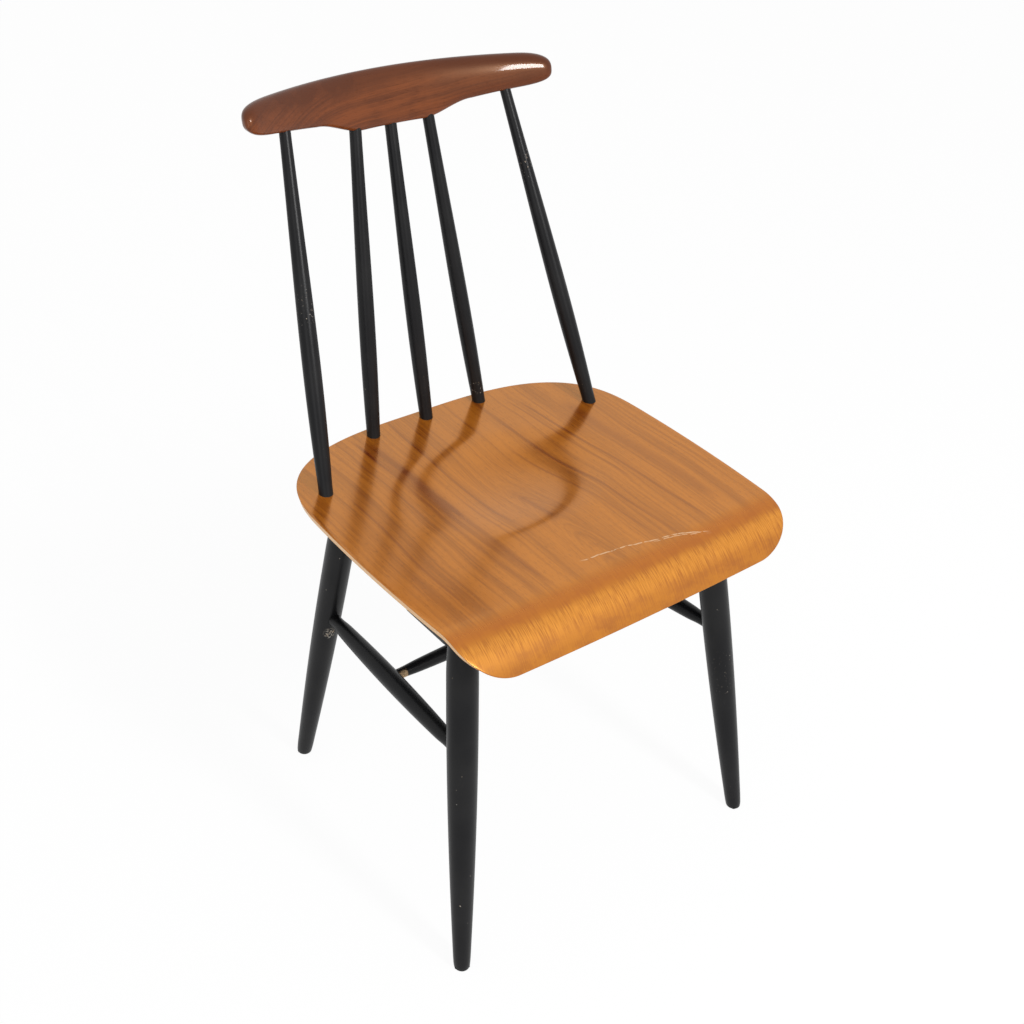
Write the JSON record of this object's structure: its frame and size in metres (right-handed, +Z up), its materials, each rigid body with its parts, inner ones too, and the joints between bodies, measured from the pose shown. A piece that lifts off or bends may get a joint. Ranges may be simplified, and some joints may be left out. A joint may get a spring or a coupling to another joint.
{
  "type": "dining chair",
  "caption": "Wooden dining chair with a moulded plywood seat, turned spindle back, shaped crest rail and splayed legs tied by stretchers.",
  "frame": {"origin": "on the floor, in the middle of the chair's overall width and depth", "axes": "+Z up, front of the chair towards -Y, +X to the right seen from the front"},
  "size_m": [0.45, 0.5015, 0.8154],
  "materials": {
    "seat_veneer": "teak veneer, glossy clear lacquer",
    "plywood": "birch plies, clear lacquer",
    "rail_teak": "solid teak, glossy clear lacquer",
    "black_paint": "turned hardwood, satin black paint",
    "screw_steel": "plain steel"
  },
  "bodies": {
    "root": {"seat_face_veneer": "seat_veneer", "seat_core": "plywood", "seat_back_veneer": "black_paint", "front_batten": "black_paint", "rear_batten": "black_paint", "crest_rail": "rail_teak", "spindle_left_outer": "black_paint", "spindle_left_inner": "black_paint", "spindle_middle": "black_paint", "spindle_right_inner": "black_paint", "spindle_right_outer": "black_paint", "leg_front_left": "black_paint", "leg_front_right": "black_paint", "leg_rear_left": "black_paint", "leg_rear_right": "black_paint", "side_stretcher_left": "black_paint", "side_stretcher_right": "black_paint", "cross_stretcher": "black_paint", "batten_screws_front": "screw_steel", "batten_screws_rear": "screw_steel"}
  },
  "joints": []
}
